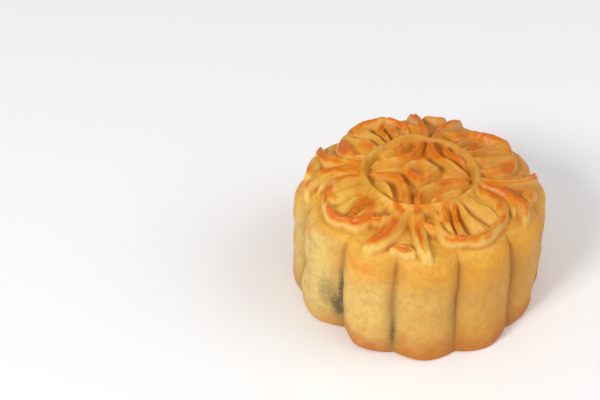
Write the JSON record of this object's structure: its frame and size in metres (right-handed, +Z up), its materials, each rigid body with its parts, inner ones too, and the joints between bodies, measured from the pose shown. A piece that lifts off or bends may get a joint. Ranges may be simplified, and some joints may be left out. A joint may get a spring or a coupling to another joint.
{
  "type": "mooncake",
  "caption": "Baked round mooncake with a scalloped side and a deep pressed pattern of fans and leaves round a ring, golden-brown crust, standing on its flat base",
  "frame": {"origin": "centre of the flat base, on the surface the cake rests on", "axes": "+Z up, the cake's axis; -Y is the side shown, +X to its right"},
  "size_m": [0.0654, 0.066, 0.0359],
  "materials": {
    "crust": "baked dough crust, golden tan on the side, egg-washed and glossy orange-brown on the raised lines"
  },
  "bodies": {
    "root": {"mooncake": "crust"}
  },
  "joints": []
}
